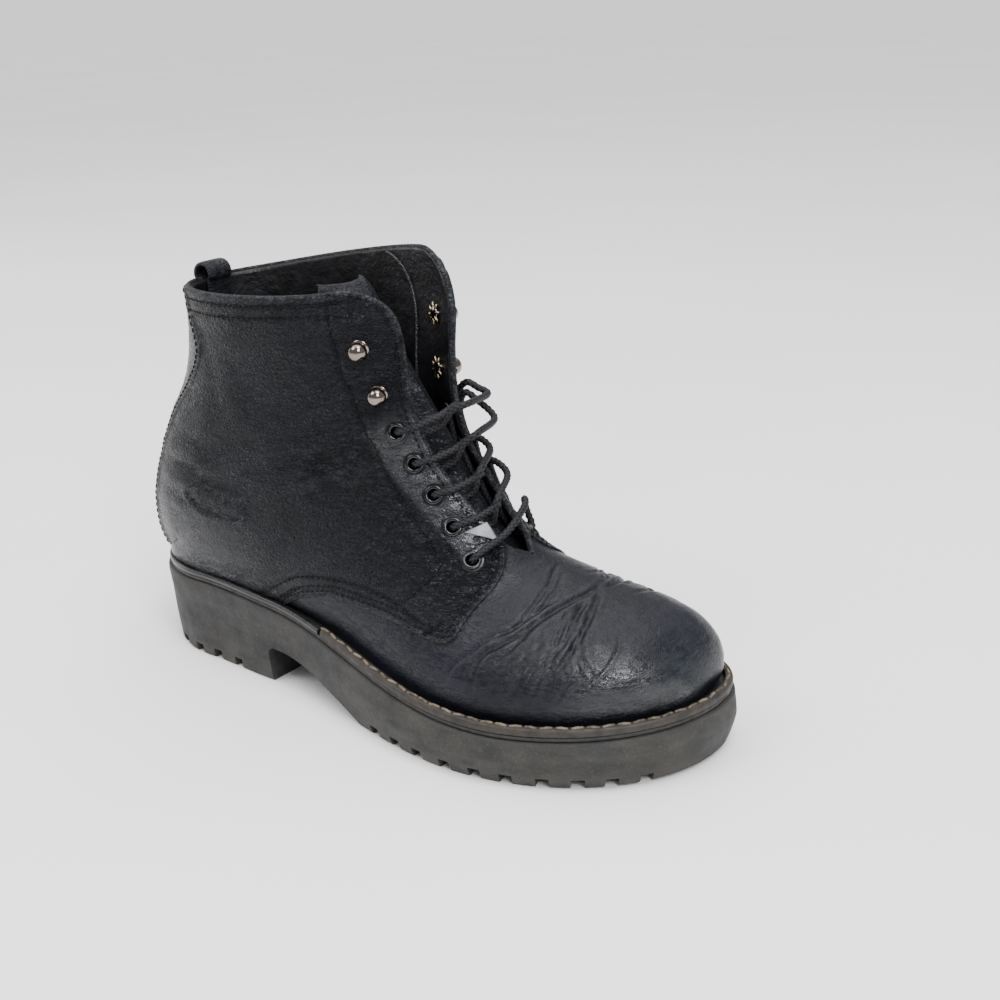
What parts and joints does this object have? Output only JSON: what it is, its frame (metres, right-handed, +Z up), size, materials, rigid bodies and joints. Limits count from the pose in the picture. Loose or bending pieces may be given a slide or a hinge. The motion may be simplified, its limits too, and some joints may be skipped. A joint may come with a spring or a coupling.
{
  "type": "combat boot",
  "caption": "Right lace-up ankle combat boot with pebbled leather upper, open facings with eyelets and studs, stitched welt and chunky lugged sole.",
  "frame": {"origin": "on the floor under the middle of the boot's box", "axes": "+X to the toe, +Y to the inner side of the foot, +Z up"},
  "size_m": [0.2793, 0.1101, 0.1796],
  "materials": {
    "sole_rubber": "matte, dusty",
    "midsole_rubber": "satin",
    "welt_leather": "matte",
    "rand_leather": "glossy",
    "insole_cloth": "matte",
    "upper_leather": "pebbled, satin",
    "tongue_leather": "satin",
    "eyelet_metal": "satin",
    "stud_metal": "polished",
    "lace_cord": "matte"
  },
  "bodies": {
    "root": {"outsole": "sole_rubber", "midsole": "midsole_rubber", "welt": "welt_leather", "heel_rand": "rand_leather", "insole": "insole_cloth", "upper": "upper_leather", "tongue": "tongue_leather", "pull_loop": "upper_leather", "eyelet_lateral_1": "eyelet_metal", "eyelet_lateral_2": "eyelet_metal", "eyelet_lateral_3": "eyelet_metal", "eyelet_lateral_4": "eyelet_metal", "eyelet_lateral_5": "eyelet_metal", "stud_lateral_1": "stud_metal", "stud_lateral_2": "stud_metal", "eyelet_medial_1": "eyelet_metal", "eyelet_medial_2": "eyelet_metal", "eyelet_medial_3": "eyelet_metal", "eyelet_medial_4": "eyelet_metal", "eyelet_medial_5": "eyelet_metal", "stud_medial_1": "stud_metal", "stud_medial_2": "stud_metal", "lace_bar": "lace_cord", "lace_cross_1": "lace_cord", "lace_cross_2": "lace_cord", "lace_cross_3": "lace_cord", "lace_cross_4": "lace_cord"}
  },
  "joints": []
}
